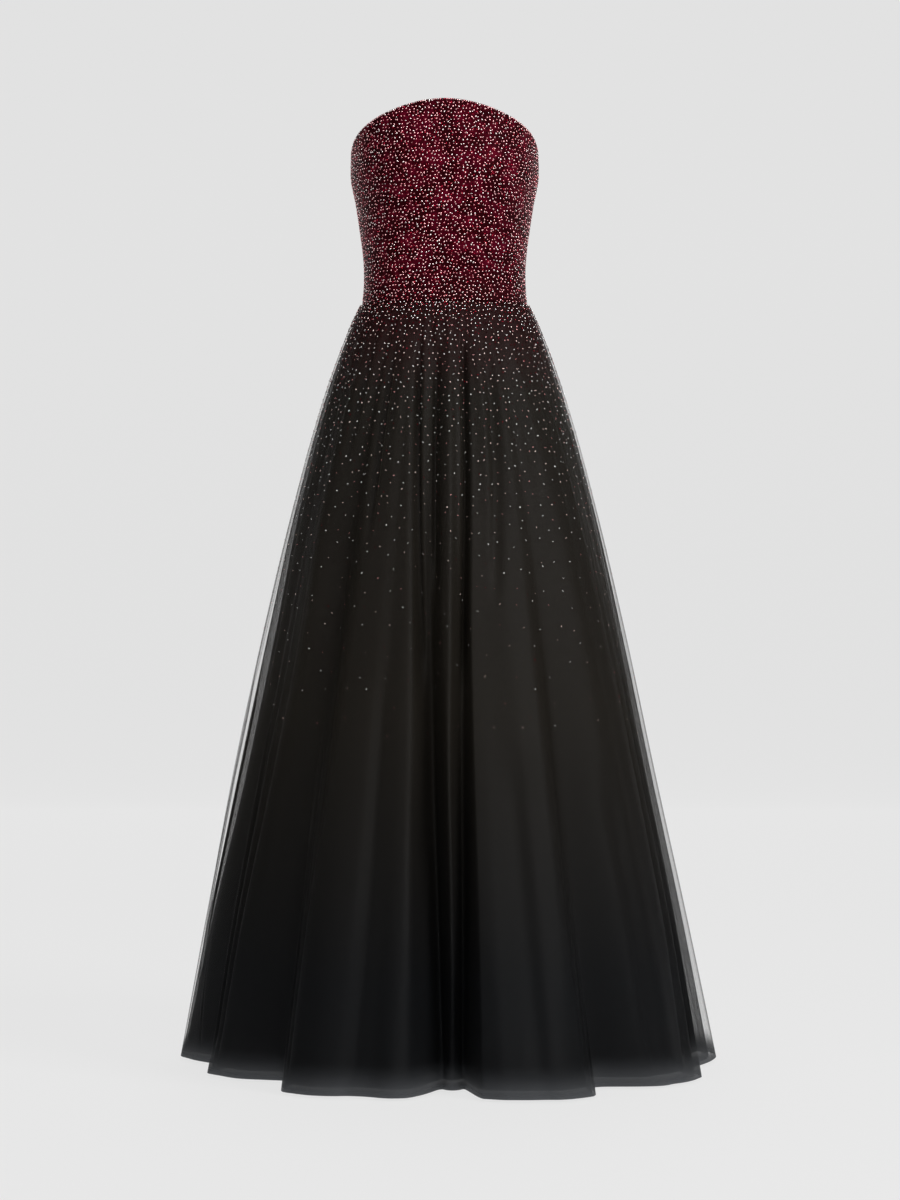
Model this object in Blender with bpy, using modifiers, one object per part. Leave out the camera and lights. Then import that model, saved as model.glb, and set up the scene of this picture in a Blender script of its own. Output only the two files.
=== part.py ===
"""Strapless ball gown, filled out as it is worn, with nobody in it.

Metres, +Z up. The front faces -Y and the wearer's left is at +X. The origin is the middle of the waist seam.
Angles run round the body in degrees: 0 at the centre front, 90 at the wearer's left side, 180 at the centre back.
"""

from collections import namedtuple

import bmesh
import bpy
import numpy as np

MM = 0.001

# Lengths of the cut
WAIST_TO_HEM = 1.130
FRONT_NECK_HEIGHT = 0.296
NECK_FRONT_DROP = 0.076
NECK_BACK_DROP = 0.027
SATIN_HEM_LIFT = 10 * MM

# Walls and the gap that a seam leaves between two pieces
BODICE_WALL = 2.0 * MM
SATIN_WALL = 1.2 * MM
TULLE_WALL = 1.0 * MM
SEAM_GAP = 0.4 * MM
LAYER_STEP = TULLE_WALL + 0.5 * MM

# Seams that run down the gown. A grid line this many degrees inside a seam keeps the edges there square.
RIGHT_SIDE = -90
LEFT_SIDE = 90
CENTRE_BACK = 180
SEAM_FACING = 1.0
PANELS = {
    "front": (RIGHT_SIDE, LEFT_SIDE),
    "back_left": (LEFT_SIDE, CENTRE_BACK),
    "back_right": (CENTRE_BACK, 360 + RIGHT_SIDE),
}

# Horizontal sections of the bodice's outer face, from the waist up
BodiceSection = namedtuple("BodiceSection", "height half_width front back")
BODICE_SECTIONS = (
    BodiceSection(0.000, 0.1232, 0.0915, 0.0850),
    BodiceSection(0.035, 0.1205, 0.0935, 0.0840),
    BodiceSection(0.070, 0.1215, 0.0995, 0.0855),
    BodiceSection(0.110, 0.1265, 0.1085, 0.0890),
    BodiceSection(0.150, 0.1325, 0.1180, 0.0930),
    BodiceSection(0.190, 0.1400, 0.1240, 0.0965),
    BodiceSection(0.220, 0.1400, 0.1230, 0.0980),
    BodiceSection(0.260, 0.1390, 0.1185, 0.0980),
    BodiceSection(0.300, 0.1370, 0.1130, 0.0980),
)
BODICE_POWER = 2.35
BODICE_ROWS = 9
BODICE_COLUMN_STEP = 9
BUST_ANGLE = 30
BUST_SPREAD = 22
BUST_HEIGHT = 0.188
BUST_DROP = 0.050
BUST_FULLNESS = 6 * MM

# Horizontal sections of the outer tulle over its folds, from the hem up. Air is what parts one layer from the next,
# given at the wearer's right and left sides.
SkirtSection = namedtuple("SkirtSection", "height half_width front back shift air_right air_left")
SKIRT_SECTIONS = (
    SkirtSection(-1.130, 0.4020, 0.385, 0.400, 0.006, 0.0010, 0.0100),
    SkirtSection(-0.920, 0.3620, 0.340, 0.356, 0.003, 0.0030, 0.0065),
    SkirtSection(-0.700, 0.3170, 0.292, 0.305, 0.000, 0.0068, 0.0048),
    SkirtSection(-0.480, 0.2700, 0.242, 0.252, 0.000, 0.0062, 0.0040),
    SkirtSection(-0.300, 0.2270, 0.197, 0.204, 0.000, 0.0030, 0.0026),
    SkirtSection(-0.180, 0.1945, 0.163, 0.168, 0.000, 0.0022, 0.0020),
    SkirtSection(-0.100, 0.1690, 0.137, 0.140, 0.000, 0.0016, 0.0016),
    SkirtSection(-0.050, 0.1500, 0.118, 0.119, 0.000, 0.0010, 0.0010),
    SkirtSection(-0.020, 0.1375, 0.105, 0.103, 0.000, 0.0005, 0.0005),
    SkirtSection(0.000, 0.1270, 0.095, 0.088, 0.000, 0.0000, 0.0000),
)
SKIRT_POWER = 2.2

# Gathers at the waist, and the folds they open into. Angles at the waist, the middle and the hem, depths in
# millimetres for the gather and for the fold at the middle and the hem, and the fold's reach to its two shoulders
# in degrees. A negative depth is a stretch that stands out.
Fold = namedtuple("Fold", "waist middle hem gather middle_depth hem_depth before after")
FOLDS = (
    Fold(-80, -84, -87, 2.5, 0, 0, 5, 5),
    Fold(-70, -75, -83, 2.5, 0, 0, 5, 5),
    Fold(-59, -65, -78, 3.0, 20, 76, 19, 11),
    Fold(-50, -55, -62, 2.0, -4, 46, 16, 14),
    Fold(-40, -44, -46, 3.5, 28, 104, 17, 11.5),
    Fold(-31, -28, -28, 3.0, 0, -10, 8, 8),
    Fold(-23, -19, -19, 2.0, 3, 5, 5, 5),
    Fold(-17, -12, -12, 2.0, -1, -8, 5, 5),
    Fold(-11, -5.4, -1.7, 4.0, 28, 98, 7, 5.3),
    Fold(-2, 1, 1, 3.0, 0, 0, 5, 5),
    Fold(8, 6.6, 4.1, 4.0, 14, 100, 5.3, 3),
    Fold(18, 14, 12.5, 2.5, 1, -26, 8.5, 8),
    Fold(27, 24, 21, 3.0, -3, -40, 9, 18),
    Fold(38, 37, 36, 3.0, 12, 64, 7.5, 15),
    Fold(51, 54, 58, 2.5, -3, -3, 10, 6),
    Fold(64, 73.5, 72, 3.0, 14, 46, 8.5, 24),
    Fold(77, 82, 83, 2.5, 0, 0, 5, 5),
    Fold(98, 98, 99, 2.5, -2, -6, 9, 8),
    Fold(109, 110, 111, 2.5, 14, 45, 8, 8),
    Fold(120, 122, 122, 2.5, 0, 0, 5, 5),
    Fold(131, 133, 133, 3.5, 24, 66, 8, 8),
    Fold(142, 144, 144, 2.5, -2, -6, 7, 7),
    Fold(152, 154, 155, 3.0, 18, 50, 7, 9),
    Fold(160, 162, 163, 2.5, 2, 0, 5, 5),
    Fold(168, 169, 170, 3.0, 20, 60, 8, 6),
    Fold(192, 191, 190, 3.0, 18, 66, 6, 9),
    Fold(202, 201, 200, 2.5, 0, -5, 8, 8),
    Fold(213, 212, 211, 3.0, 26, 72, 9, 8),
    Fold(224, 223, 222, 2.5, 2, 2, 6, 6),
    Fold(235, 234, 233, 3.5, 20, 54, 8, 10),
    Fold(246, 244, 243, 2.5, 0, -4, 7, 7),
    Fold(256, 254, 252, 3.0, 12, 40, 8, 8),
    Fold(265, 263, 261, 2.5, -1, -8, 8, 8),
)
FOLD_MIDDLE = 0.44
DEEP_FOLD = 20
SHOULDER_STEPS = (0.45, 1.0)
MOST_REACH = 0.45
GATHER_REACH = 5.5
GATHER_FULL = 0.050
GATHER_FADE_FROM = 0.120
GATHER_FADE_TO = 0.400

# Layers of the skirt, from the inside out. Follow is the share of a fold's depth that the layer takes.
Layer = namedtuple("Layer", "name steps_in follow wall hem")
LAYERS = (
    Layer("underskirt", 2.4, 1.00, SATIN_WALL, WAIST_TO_HEM - SATIN_HEM_LIFT),
    Layer("tulle_inner", 1, 0.93, TULLE_WALL, WAIST_TO_HEM),
    Layer("tulle_outer", 0, 0.86, TULLE_WALL, WAIST_TO_HEM),
)

# Zip at the centre back
TAPE_WIDTH = 20 * MM
TAPE_WALL = 1.0 * MM
TAPE_GAP = 0.6 * MM
TAPE_BELOW_TOP = 3 * MM
TAPE_END = -0.180
TAPE_BODICE_ROWS = 9
TAPE_COLUMNS = 5
SLIDER_WIDTH = 7 * MM
SLIDER_HEIGHT = 10 * MM
SLIDER_WALL = 2 * MM
SLIDER_BELOW_TOP = 9 * MM
SLIDER_GAP = 0.4 * MM
EAR_WALL = 1.2 * MM
EAR_HEIGHT = 3.6 * MM
EAR_REACH = 3.6 * MM
PIN_OUT = 2.0 * MM
PIN_HOLE_RADIUS = 0.9 * MM
PIN_RADIUS = 0.6 * MM
PULL_NECK_WIDTH = 3.0 * MM
PULL_NECK_LENGTH = 5.0 * MM
PULL_WIDTH = 6.0 * MM
PULL_LENGTH = 22 * MM
PULL_WALL = 1.2 * MM
PULL_OVERLAP = 1 * MM
RUNNING_GAP = 0.3 * MM
ROUND_SIDES = 20

# Colour, roughness and metallic value of each material
FINISHES = {
    "beaded_satin": ((0.060, 0.008, 0.014), 0.35, 0.0),
    "black_satin": ((0.010, 0.010, 0.011), 0.40, 0.0),
    "black_tulle": ((0.030, 0.029, 0.030), 0.80, 0.0),
    "zip_tape": ((0.012, 0.011, 0.012), 0.85, 0.0),
    "zip_metal": ((0.045, 0.043, 0.045), 0.35, 1.0),
}


def ease(share):
    """A smooth step from 0 to 1, flat at both ends."""
    share = np.clip(share, 0, 1)
    return share * share * (3 - 2 * share)


def curve_through(at, xs, ys):
    """The smooth curve through the points (xs, ys), read at the given places: a cubic between each two points,
    with the slope at a point taken from its neighbours."""
    xs = np.asarray(xs, float)
    ys = np.asarray(ys, float)
    slopes = np.gradient(ys, xs)
    i = np.clip(np.searchsorted(xs, at) - 1, 0, len(xs) - 2)
    length = xs[i + 1] - xs[i]
    u = np.clip((at - xs[i]) / length, 0, 1)
    start = (1 + 2 * u) * (1 - u) ** 2 * ys[i] + u * (1 - u) ** 2 * length * slopes[i]
    end = u * u * (3 - 2 * u) * ys[i + 1] - u * u * (1 - u) * length * slopes[i + 1]
    return start + end


def table_column(table, name, height):
    """One column of a table of sections, read at the given heights."""
    return curve_through(height, [row.height for row in table], [getattr(row, name) for row in table])


def oval_radius(angle, half_width, front, back, power):
    """Distance from the axis to a rounded oval, wider or flatter than an ellipse by its power."""
    turn = np.radians(angle)
    depth = np.where(np.cos(turn) > 0, front, back)
    across = (np.abs(np.sin(turn)) / half_width) ** power
    along = (np.abs(np.cos(turn)) / depth) ** power
    return (across + along) ** (-1 / power)


def turned(angle, centre):
    """Degrees from centre to angle, the short way round."""
    return (np.asarray(angle) - centre + 180) % 360 - 180


def placed(angle, radius, height, shift=0.0):
    """Points at these angles, distances from the axis and heights."""
    turn = np.radians(angle)
    points = (radius * np.sin(turn) + shift, -radius * np.cos(turn), height + 0 * radius)
    return np.stack(points, axis=-1)


def neckline(angle):
    """Height of the top edge: a tilted plane round the front, which levels out towards the centre back."""
    away = np.abs(turned(angle, 0))
    front = FRONT_NECK_HEIGHT - NECK_FRONT_DROP * (1 - np.cos(np.radians(away)))
    side = FRONT_NECK_HEIGHT - NECK_FRONT_DROP
    back = side - NECK_BACK_DROP * (1 - (1 - np.clip(away / 90 - 1, 0, 1)) ** 4)
    return np.where(away < 90, front, back)


def bodice_radius(angle, height):
    """Outer face of the bodice, with the fullness of its two cups."""
    sizes = [table_column(BODICE_SECTIONS, name, height) for name in ("half_width", "front", "back")]
    radius = oval_radius(angle, *sizes, BODICE_POWER)
    rise = np.exp(-(((height - BUST_HEIGHT) / BUST_DROP) ** 2))
    for centre in (-BUST_ANGLE, BUST_ANGLE):
        radius = radius + BUST_FULLNESS * rise * np.exp(-((turned(angle, centre) / BUST_SPREAD) ** 2))
    return radius


def down_the_skirt(share, waist, middle, hem):
    """The value between the waist (share 0) and the hem (share 1) of the parabola through three given ones."""
    m = FOLD_MIDDLE
    at_waist = waist * (share - m) * (share - 1) / m
    at_middle = middle * share * (share - 1) / (m * (m - 1))
    at_hem = hem * share * (share - m) / (1 - m)
    return at_waist + at_middle + at_hem


def fold_angle(fold, share):
    return down_the_skirt(share, fold.waist, fold.middle, fold.hem)


def skirt_radius(angle, height, layer):
    """Outer face of a layer of the skirt: its oval section, less the gathers and folds."""
    share = -height / WAIST_TO_HEM
    sizes = [table_column(SKIRT_SECTIONS, name, height) for name in ("half_width", "front", "back")]
    radius = oval_radius(angle, *sizes, SKIRT_POWER)
    right, left = (table_column(SKIRT_SECTIONS, name, height) for name in ("air_right", "air_left"))
    air = (left + right) / 2 + (left - right) / 2 * np.sin(np.radians(angle))
    radius = radius - layer.steps_in * (LAYER_STEP + air)
    fading = ease((-height - GATHER_FADE_FROM) / (GATHER_FADE_TO - GATHER_FADE_FROM))
    gathering = ease(-height / GATHER_FULL) * (1 - fading)
    for fold in FOLDS:
        offset = turned(angle, fold_angle(fold, share))
        reach = np.where(offset < 0, fold.before, fold.after)
        depth = down_the_skirt(share, 0, fold.middle_depth, fold.hem_depth)
        gather = fold.gather * gathering * (1 - ease(np.abs(offset) / GATHER_REACH))
        radius = radius - MM * (gather + layer.follow * depth * (1 - ease(np.abs(offset) / reach)))
    return radius


def column_angles(share, first, last):
    """Angles of a panel's grid lines at one height: on each fold, at the steps to its shoulders if it is deep,
    and halfway between two shallow ones. They lean with the folds."""
    seam = [Fold(angle, angle, angle, 0, 0, 0, 0, 0) for angle in (first, last)]
    lines = [seam[0], *(fold for fold in FOLDS if first < fold.waist < last), seam[1]]
    angles = []
    for here, following in zip(lines, lines[1:]):
        start = fold_angle(here, share)
        span = fold_angle(following, share) - start
        angles.append(start)
        if here.hem_depth > DEEP_FOLD:
            reach = min(here.after, MOST_REACH * span)
            angles += [start + step * reach for step in SHOULDER_STEPS]
        if following.hem_depth > DEEP_FOLD:
            reach = min(following.before, MOST_REACH * span)
            angles += [start + span - step * reach for step in SHOULDER_STEPS[::-1]]
        if max(here.hem_depth, following.hem_depth) <= DEEP_FOLD:
            angles.append(start + span / 2)
    return np.array([first, first + SEAM_FACING, *angles[1:], last - SEAM_FACING, last], float)


def part_at_seams(points):
    """Moves a panel's first and last column half a seam gap into the panel."""
    for edge, beside in ((0, 1), (-1, -2)):
        inwards = points[:, beside] - points[:, edge]
        inwards[:, 2] = 0
        inwards /= np.linalg.norm(inwards, axis=1, keepdims=True)
        points[:, edge] += inwards * SEAM_GAP / 2
    return points


def bodice_points(first, last):
    """Grid of a bodice panel, from the waist seam up to the neckline."""
    angles = np.linspace(first, last, round((last - first) / BODICE_COLUMN_STEP) + 1)
    angles = np.array([first, first + SEAM_FACING, *angles[1:-1], last - SEAM_FACING, last])
    shares = np.linspace(0, 1, BODICE_ROWS)[:, None]
    heights = SEAM_GAP / 2 + shares * (neckline(angles) - SEAM_GAP / 2)
    angles = np.broadcast_to(angles, heights.shape)
    return part_at_seams(placed(angles, bodice_radius(angles, heights), heights))


def skirt_points(layer, first, last):
    """Grid of a skirt panel, from its hem up to the waist seam."""
    heights = np.array([-layer.hem, *(row.height for row in SKIRT_SECTIONS[1:-1]), -SEAM_GAP / 2])
    rows = []
    for height in heights:
        angles = column_angles(-height / WAIST_TO_HEM, first, last)
        shift = table_column(SKIRT_SECTIONS, "shift", height)
        rows.append(placed(angles, skirt_radius(angles, height, layer), height, shift))
    return part_at_seams(np.array(rows))


def tape_points():
    """Grid of the zip's tape, just inside the centre back seam, from the underskirt up to the neckline."""
    below = [row.height for row in SKIRT_SECTIONS if TAPE_END <= row.height < 0]
    above = np.linspace(0, neckline(CENTRE_BACK) - TAPE_BELOW_TOP, TAPE_BODICE_ROWS)
    rows = []
    for height in [*below, *above]:
        if height < 0:
            outside = skirt_radius(CENTRE_BACK, height, LAYERS[0]) - SATIN_WALL
        else:
            outside = bodice_radius(CENTRE_BACK, height) - BODICE_WALL
        reach = np.degrees(TAPE_WIDTH / 2 / outside)
        angles = np.linspace(CENTRE_BACK - reach, CENTRE_BACK + reach, TAPE_COLUMNS)
        if height < 0:
            radius = skirt_radius(angles, height, LAYERS[0]) - SATIN_WALL - TAPE_GAP
        else:
            radius = bodice_radius(angles, height) - BODICE_WALL - TAPE_GAP
        rows.append(placed(angles, radius, height))
    return np.array(rows)


def finish_material(name):
    """The named Principled material, made the first time that it is asked for."""
    if name in bpy.data.materials:
        return bpy.data.materials[name]
    colour, roughness, metallic = FINISHES[name]
    material = bpy.data.materials.new(name)
    material.use_nodes = True
    shader = material.node_tree.nodes["Principled BSDF"]
    shader.inputs["Base Color"].default_value = (*colour, 1)
    shader.inputs["Roughness"].default_value = roughness
    shader.inputs["Metallic"].default_value = metallic
    material.diffuse_color = (*colour, 1)
    return material


def add_object(name, mesh, finish, collection):
    obj = bpy.data.objects.new(name, mesh)
    obj.data.materials.append(finish_material(finish))
    collection.objects.link(obj)
    return obj


def add_cloth(name, points, wall, finish, collection):
    """A cloth piece: the open surface through a grid of points, thickened towards the inside."""
    rows, columns = points.shape[:2]
    index = np.arange(rows * columns).reshape(rows, columns)
    faces = np.stack([index[:-1, :-1], index[:-1, 1:], index[1:, 1:], index[1:, :-1]], axis=-1)
    mesh = bpy.data.meshes.new(name)
    mesh.from_pydata(points.reshape(-1, 3).tolist(), [], faces.reshape(-1, 4).tolist())
    mesh.shade_smooth()
    cloth = add_object(name, mesh, finish, collection)
    thicken = cloth.modifiers.new("Wall", "SOLIDIFY")
    thicken.thickness = wall
    thicken.offset = -1
    thicken.use_even_offset = True
    return cloth


def block(mesh, size, centre):
    """Adds a box of this size to a bmesh."""
    made = bmesh.ops.create_cube(mesh, size=1)
    bmesh.ops.scale(mesh, vec=size, verts=made["verts"])
    bmesh.ops.translate(mesh, vec=centre, verts=made["verts"])


def cross_rod(mesh, radius, length, centre):
    """Adds a round rod along X to a bmesh."""
    made = bmesh.ops.create_cone(
        mesh, cap_ends=True, segments=ROUND_SIDES, radius1=radius, radius2=radius, depth=length
    )
    turn = np.array(((0, 0, 1), (0, 1, 0), (-1, 0, 0)), float)
    for vertex in made["verts"]:
        vertex.co = turn @ np.array(vertex.co) + np.array(centre)


def mesh_of(name, *shapes):
    """A mesh made of the given shapes, each a function with its own size and place."""
    mesh = bpy.data.meshes.new(name)
    made = bmesh.new()
    for shape, *sizes in shapes:
        shape(made, *sizes)
    made.to_mesh(mesh)
    made.free()
    return mesh


def join(obj, other, operation):
    """Adds or cuts another object's shape by a Boolean."""
    boolean = obj.modifiers.new(other.name, "BOOLEAN")
    boolean.operation = operation
    boolean.object = other
    other.hide_render = True
    other.display_type = "WIRE"


def pin_centre():
    """Where the pull's pin lies, behind the top of the centre back seam."""
    height = float(neckline(CENTRE_BACK)) - SLIDER_BELOW_TOP
    face = float(bodice_radius(CENTRE_BACK, height + SLIDER_HEIGHT / 2))
    return np.array((0, face + SLIDER_GAP + SLIDER_WALL + PIN_OUT, height))


def add_slider(collection, helpers):
    """The zip's slider: a plate with two ears, which hold the pull's pin."""
    pin = pin_centre()
    plate_centre = pin - (0, PIN_OUT + SLIDER_WALL / 2, 0)
    slider = add_object(
        "zip_slider",
        mesh_of("zip_slider", (block, (SLIDER_WIDTH, SLIDER_WALL, SLIDER_HEIGHT), plate_centre)),
        "zip_metal",
        collection,
    )
    overlap = SLIDER_WALL / 2
    ear_size = (EAR_WALL, EAR_REACH + overlap, EAR_HEIGHT)
    for side, name in ((-1, "ear_right"), (1, "ear_left")):
        across = side * (PULL_NECK_WIDTH / 2 + RUNNING_GAP + EAR_WALL / 2)
        centre = pin + (across, (EAR_REACH - overlap) / 2 - PIN_OUT, 0)
        join(slider, add_object(name, mesh_of(name, (block, ear_size, centre)), "zip_metal", helpers), "UNION")
    hole = mesh_of("pin_hole", (cross_rod, PIN_HOLE_RADIUS, 2 * SLIDER_WIDTH, pin))
    join(slider, add_object("pin_hole", hole, "zip_metal", helpers), "DIFFERENCE")


def add_pull(collection, helpers):
    """The zip's pull tab, hanging down from its pin. Its origin is on the pin's axis."""
    pin = pin_centre()
    pin_length = PULL_NECK_WIDTH + 2 * RUNNING_GAP + 2 * EAR_WALL
    pull = add_object(
        "zip_pull", mesh_of("zip_pull", (cross_rod, PIN_RADIUS, pin_length, (0, 0, 0))), "zip_metal", collection
    )
    pull.location = pin
    neck_size = (PULL_NECK_WIDTH, PULL_WALL, PULL_NECK_LENGTH)
    tab_length = PULL_LENGTH - PULL_NECK_LENGTH + PULL_OVERLAP
    tab_size = (PULL_WIDTH, PULL_WALL, tab_length)
    pieces = (
        ("pull_neck", neck_size, -PULL_NECK_LENGTH / 2),
        ("pull_tab", tab_size, tab_length / 2 - PULL_LENGTH),
    )
    for name, size, height in pieces:
        piece = add_object(name, mesh_of(name, (block, size, (0, 0, height))), "zip_metal", helpers)
        piece.location = pin
        join(pull, piece, "UNION")


def new_collection(name):
    collection = bpy.data.collections.new(name)
    bpy.context.scene.collection.children.link(collection)
    return collection


def main():
    for obj in list(bpy.data.objects):
        bpy.data.objects.remove(obj)
    gown = new_collection("ball_gown")
    helpers = new_collection("helpers")
    for panel, (first, last) in PANELS.items():
        add_cloth(f"bodice_{panel}", bodice_points(first, last), BODICE_WALL, "beaded_satin", gown)
        for layer in LAYERS:
            finish = "black_satin" if layer.name == "underskirt" else "black_tulle"
            add_cloth(f"{layer.name}_{panel}", skirt_points(layer, first, last), layer.wall, finish, gown)
    add_cloth("zip_tape", tape_points(), TAPE_WALL, "zip_tape", gown)
    add_slider(gown, helpers)
    add_pull(gown, helpers)


main()
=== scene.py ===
"""Looks of a strapless ball gown, filled out as it is worn: a dark red satin bodice set with
crystals, and a black satin underskirt under two layers of black tulle.

Metres, +Z up. The front faces -Y and the wearer's left is at +X. The origin is the middle of the
waist seam.
Angles run round the body in degrees: 0 at the centre front, 90 at the wearer's left side and 180
at the centre back.
"""

from collections import namedtuple

import bpy
import numpy as np
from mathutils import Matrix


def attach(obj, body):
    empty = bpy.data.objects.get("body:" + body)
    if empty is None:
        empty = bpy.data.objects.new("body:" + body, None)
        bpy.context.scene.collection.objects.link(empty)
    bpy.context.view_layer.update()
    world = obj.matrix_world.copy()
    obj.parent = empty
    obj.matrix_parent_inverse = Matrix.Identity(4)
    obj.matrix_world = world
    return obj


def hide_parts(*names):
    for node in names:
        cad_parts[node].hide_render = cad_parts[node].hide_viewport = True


MM = 0.001

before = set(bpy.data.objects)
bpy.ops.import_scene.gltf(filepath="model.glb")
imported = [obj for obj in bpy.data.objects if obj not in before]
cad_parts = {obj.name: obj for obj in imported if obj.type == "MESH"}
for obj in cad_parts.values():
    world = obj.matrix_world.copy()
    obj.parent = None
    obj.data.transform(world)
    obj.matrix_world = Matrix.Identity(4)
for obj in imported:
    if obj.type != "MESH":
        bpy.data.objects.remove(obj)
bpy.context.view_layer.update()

# Lengths of the cut, as in the solids
WAIST_TO_HEM = 1.130
FRONT_NECK_HEIGHT = 0.296
NECK_FRONT_DROP = 0.076
NECK_BACK_DROP = 0.027
SATIN_HEM_LIFT = 10 * MM
LAYER_STEP = 1.5 * MM

RIGHT_SIDE = -90
LEFT_SIDE = 90
CENTRE_BACK = 180
PANELS = {
    "front": (RIGHT_SIDE, LEFT_SIDE),
    "back_left": (LEFT_SIDE, CENTRE_BACK),
    "back_right": (CENTRE_BACK, 360 + RIGHT_SIDE),
}

# Horizontal sections of the bodice's outer face, from the waist up
BodiceSection = namedtuple("BodiceSection", "height half_width front back")
BODICE_SECTIONS = (
    BodiceSection(0.000, 0.1232, 0.0915, 0.0850),
    BodiceSection(0.035, 0.1205, 0.0935, 0.0840),
    BodiceSection(0.070, 0.1215, 0.0995, 0.0855),
    BodiceSection(0.110, 0.1265, 0.1085, 0.0890),
    BodiceSection(0.150, 0.1325, 0.1180, 0.0930),
    BodiceSection(0.190, 0.1400, 0.1240, 0.0965),
    BodiceSection(0.220, 0.1400, 0.1230, 0.0980),
    BodiceSection(0.260, 0.1390, 0.1185, 0.0980),
    BodiceSection(0.300, 0.1370, 0.1130, 0.0980),
)
BODICE_POWER = 2.35
BUST_ANGLE = 30
BUST_SPREAD = 22
BUST_HEIGHT = 0.188
BUST_DROP = 0.050
BUST_FULLNESS = 6 * MM

# Horizontal sections of the outer tulle over its folds, from the hem up. Air is what parts one
# layer from the next, given at the wearer's right and left sides.
SkirtSection = namedtuple("SkirtSection", "height half_width front back shift air_right air_left")
SKIRT_SECTIONS = (
    SkirtSection(-1.130, 0.4020, 0.385, 0.400, 0.006, 0.0010, 0.0100),
    SkirtSection(-0.920, 0.3620, 0.340, 0.356, 0.003, 0.0030, 0.0065),
    SkirtSection(-0.700, 0.3170, 0.292, 0.305, 0.000, 0.0068, 0.0048),
    SkirtSection(-0.480, 0.2700, 0.242, 0.252, 0.000, 0.0062, 0.0040),
    SkirtSection(-0.300, 0.2270, 0.197, 0.204, 0.000, 0.0030, 0.0026),
    SkirtSection(-0.180, 0.1945, 0.163, 0.168, 0.000, 0.0022, 0.0020),
    SkirtSection(-0.100, 0.1690, 0.137, 0.140, 0.000, 0.0016, 0.0016),
    SkirtSection(-0.050, 0.1500, 0.118, 0.119, 0.000, 0.0010, 0.0010),
    SkirtSection(-0.020, 0.1375, 0.105, 0.103, 0.000, 0.0005, 0.0005),
    SkirtSection(0.000, 0.1270, 0.095, 0.088, 0.000, 0.0000, 0.0000),
)
SKIRT_POWER = 2.2

# Gathers at the waist, and the folds they open into. Angles at the waist, the middle and the hem,
# depths in millimetres for the gather and for the fold at the middle and the hem, and the fold's
# reach to its two shoulders in degrees. A negative depth is a stretch that stands out.
Fold = namedtuple("Fold", "waist middle hem gather middle_depth hem_depth before after")
FOLDS = (
    Fold(-80, -84, -87, 2.5, 0, 0, 5, 5),
    Fold(-70, -75, -83, 2.5, 0, 0, 5, 5),
    Fold(-59, -65, -78, 3.0, 20, 76, 19, 11),
    Fold(-50, -55, -62, 2.0, -4, 46, 16, 14),
    Fold(-40, -44, -46, 3.5, 28, 104, 17, 11.5),
    Fold(-31, -28, -28, 3.0, 0, -10, 8, 8),
    Fold(-23, -19, -19, 2.0, 3, 5, 5, 5),
    Fold(-17, -12, -12, 2.0, -1, -8, 5, 5),
    Fold(-11, -5.4, -1.7, 4.0, 28, 98, 7, 5.3),
    Fold(-2, 1, 1, 3.0, 0, 0, 5, 5),
    Fold(8, 6.6, 4.1, 4.0, 14, 100, 5.3, 3),
    Fold(18, 14, 12.5, 2.5, 1, -26, 8.5, 8),
    Fold(27, 24, 21, 3.0, -3, -40, 9, 18),
    Fold(38, 37, 36, 3.0, 12, 64, 7.5, 15),
    Fold(51, 54, 58, 2.5, -3, -3, 10, 6),
    Fold(64, 73.5, 72, 3.0, 14, 46, 8.5, 24),
    Fold(77, 82, 83, 2.5, 0, 0, 5, 5),
    Fold(98, 98, 99, 2.5, -2, -6, 9, 8),
    Fold(109, 110, 111, 2.5, 14, 45, 8, 8),
    Fold(120, 122, 122, 2.5, 0, 0, 5, 5),
    Fold(131, 133, 133, 3.5, 24, 66, 8, 8),
    Fold(142, 144, 144, 2.5, -2, -6, 7, 7),
    Fold(152, 154, 155, 3.0, 18, 50, 7, 9),
    Fold(160, 162, 163, 2.5, 2, 0, 5, 5),
    Fold(168, 169, 170, 3.0, 20, 60, 8, 6),
    Fold(192, 191, 190, 3.0, 18, 66, 6, 9),
    Fold(202, 201, 200, 2.5, 0, -5, 8, 8),
    Fold(213, 212, 211, 3.0, 26, 72, 9, 8),
    Fold(224, 223, 222, 2.5, 2, 2, 6, 6),
    Fold(235, 234, 233, 3.5, 20, 54, 8, 10),
    Fold(246, 244, 243, 2.5, 0, -4, 7, 7),
    Fold(256, 254, 252, 3.0, 12, 40, 8, 8),
    Fold(265, 263, 261, 2.5, -1, -8, 8, 8),
)
FOLD_MIDDLE = 0.44
GATHER_REACH = 5.5
GATHER_FULL = 0.050
GATHER_FADE_FROM = 0.120
GATHER_FADE_TO = 0.400

# Layers of the skirt, from the inside out. Follow is the share of a fold's depth that the layer
# takes.
Layer = namedtuple("Layer", "name steps_in follow wall hem")
LAYERS = (
    Layer("underskirt", 2.4, 1.00, 0.8 * MM, WAIST_TO_HEM - SATIN_HEM_LIFT),
    Layer("tulle_inner", 1, 0.93, 0.5 * MM, WAIST_TO_HEM),
    Layer("tulle_outer", 0, 0.86, 0.5 * MM, WAIST_TO_HEM),
)
BODICE_WALL = 1.8 * MM

# Zip at the centre back
SATIN_SOLID_WALL = 1.2 * MM
BODICE_SOLID_WALL = 2 * MM
TAPE_WALL = 1.0 * MM
TAPE_GAP = 0.6 * MM
TAPE_END = -0.180
SLIDER_BELOW_TOP = 9 * MM
TOOTH_PITCH = 1.3 * MM
TOOTH_SIZE = (4.2 * MM, 0.8 * MM, 0.8 * MM)

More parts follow.
